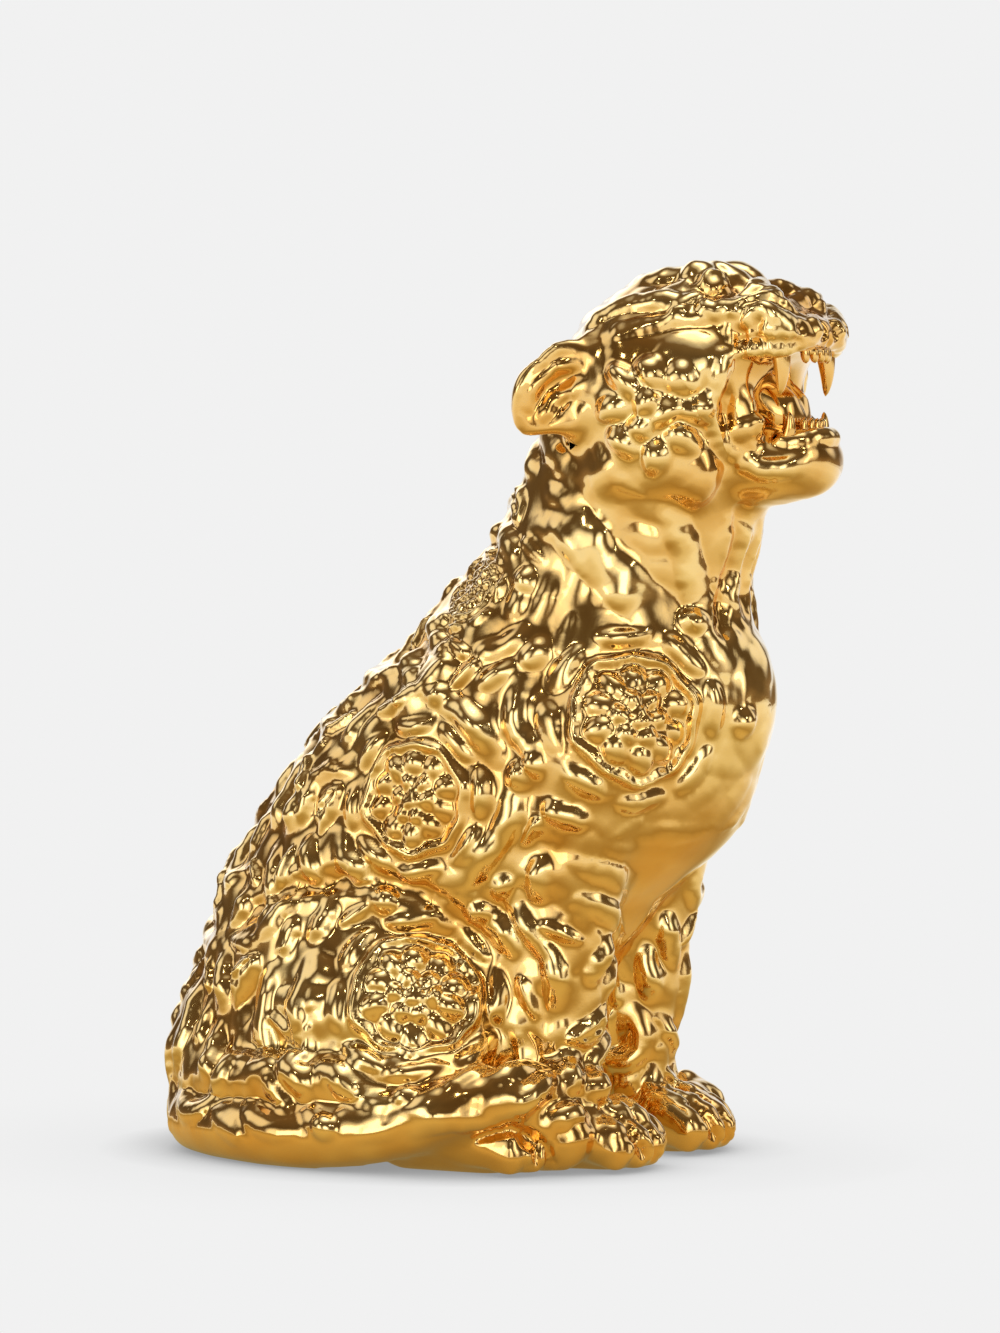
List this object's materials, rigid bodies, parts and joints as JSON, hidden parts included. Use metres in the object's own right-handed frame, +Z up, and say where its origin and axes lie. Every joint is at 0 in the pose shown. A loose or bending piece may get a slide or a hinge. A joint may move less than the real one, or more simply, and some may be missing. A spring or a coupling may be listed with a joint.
{
  "type": "seated cat figurine",
  "caption": "Hollow gilded porcelain big cat, seated and roaring with bared fangs, tail wrapped round one side, rosette relief on its coat; a table ornament.",
  "frame": {"origin": "on the standing plane, on the underside of the foot plate, between the haunches and the forelegs", "axes": "+X the way the cat faces, +Y its left side, +Z up"},
  "size_m": [0.2804, 0.1763, 0.3382],
  "materials": {
    "gold_lustre": "polished",
    "bisque": "matte"
  },
  "bodies": {
    "root": {"body_shell": "gold_lustre", "foot_plate": "bisque", "right_foreleg": "gold_lustre", "left_foreleg": "gold_lustre", "right_hind_paw": "gold_lustre", "left_hind_paw": "gold_lustre", "tail": "gold_lustre", "head_shell": "gold_lustre", "lower_jaw": "gold_lustre", "tongue": "gold_lustre", "right_ear": "gold_lustre", "left_ear": "gold_lustre", "right_upper_canine": "gold_lustre", "left_upper_canine": "gold_lustre", "right_lower_canine": "gold_lustre", "left_lower_canine": "gold_lustre", "upper_incisors": "gold_lustre", "lower_incisors": "gold_lustre", "right_shoulder_roundel": "gold_lustre", "left_shoulder_roundel": "gold_lustre", "right_flank_roundel": "gold_lustre", "left_flank_roundel": "gold_lustre", "right_haunch_roundel": "gold_lustre", "left_haunch_roundel": "gold_lustre", "right_nape_roundel": "gold_lustre", "left_nape_roundel": "gold_lustre"}
  },
  "joints": []
}
